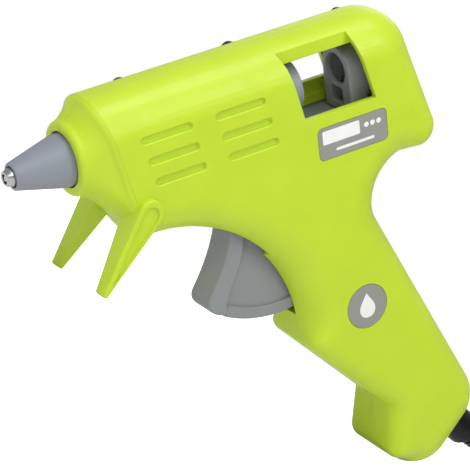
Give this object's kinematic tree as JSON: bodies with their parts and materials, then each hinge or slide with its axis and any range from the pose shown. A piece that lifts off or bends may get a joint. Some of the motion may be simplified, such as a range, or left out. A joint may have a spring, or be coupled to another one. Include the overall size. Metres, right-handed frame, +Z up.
{
  "type": "glue gun",
  "caption": "Small hot glue gun with a nose-down stance on two feet, a conical nozzle, side window, sprung trigger and mains lead.",
  "frame": {"origin": "on the ground, under the middle of the gun without its cord", "axes": "+X from the nozzle end towards the handle's butt, +Y towards the screw side, +Z up, with the gun standing on its feet and butt"},
  "size_m": [0.3703, 0.0468, 0.1117],
  "materials": {
    "housing_plastic": "satin moulded, lime green",
    "nozzle_plastic": "satin moulded, blue grey",
    "moving_plastic": "satin moulded, mid grey",
    "label_plastic": "printed, warm grey",
    "cord_rubber": "matt black",
    "clamp_plastic": "moulded black",
    "bright_steel": "bright",
    "dark_steel": "blackened",
    "chamber_aluminium": "as cast",
    "brass": "stamped",
    "ceramic": "fired ceramic, matt",
    "amber_film": "polyimide film",
    "live_insulation": "brown",
    "neutral_insulation": "blue"
  },
  "bodies": {
    "housing": {"left_housing": "housing_plastic", "right_housing": "housing_plastic", "nozzle_tip": "bright_steel", "nozzle_sleeve": "nozzle_plastic", "valve_ball": "bright_steel", "valve_spring": "bright_steel", "melt_chamber": "chamber_aluminium", "upper_electrode": "brass", "ptc_heater": "ceramic", "lower_electrode": "brass", "insulating_film": "amber_film", "heater_clip": "bright_steel", "inlet_sleeve": "nozzle_plastic", "feed_guide": "nozzle_plastic", "return_spring": "bright_steel", "trigger_pivot_pin": "bright_steel", "housing_screw_1": "dark_steel", "housing_screw_2": "dark_steel", "housing_screw_3": "dark_steel", "housing_screw_4": "dark_steel", "housing_screw_5": "dark_steel", "housing_screw_6": "dark_steel", "housing_screw_7": "dark_steel", "side_label": "label_plastic", "handle_badge": "label_plastic", "strain_relief": "cord_rubber", "cord_clamp": "clamp_plastic", "clamp_screw_1": "bright_steel", "clamp_screw_2": "bright_steel", "cord_sheath_end": "cord_rubber", "live_lead": "live_insulation", "neutral_lead": "neutral_insulation", "live_terminal": "brass", "neutral_terminal": "brass", "mains_cord": "cord_rubber", "cord_hank": "cord_rubber", "cord_end": "cord_rubber", "cord_tie": "clamp_plastic", "plug_body": "clamp_plastic", "plug_pin_1": "bright_steel", "plug_pin_2": "bright_steel"},
    "trigger": {"trigger": "moving_plastic"},
    "feed": {"feed_carriage": "moving_plastic", "gripper_pin": "bright_steel"},
    "gripper": {"stick_gripper": "bright_steel"}
  },
  "joints": [
    {"name": "trigger_pull", "type": "hinge", "parent": "housing", "child": "trigger", "pos_m": [-0.01389, 0, 0.04806], "axis": [0, -1, 0], "range_deg": [0, 18], "stiffness_Nm_per_rad": 0.15, "springref_deg": -5.73, "deforming": ["return_spring"]},
    {"name": "feed_slide", "type": "slide", "parent": "housing", "child": "feed", "axis": [-0.7206, 0, -0.6934], "range_m": [0, 0.0037]},
    {"name": "gripper_turn", "type": "hinge", "parent": "feed", "child": "gripper", "pos_m": [-0.00368, 0, 0.08981], "axis": [0, 1, 0], "range_deg": [0, 8]}
  ],
  "couplings": [
    {"joint": "feed_slide", "follows": "trigger_pull", "m_per_rad": 0.0115},
    {"joint": "gripper_turn", "follows": "trigger_pull", "ratio": 0.4444}
  ]
}
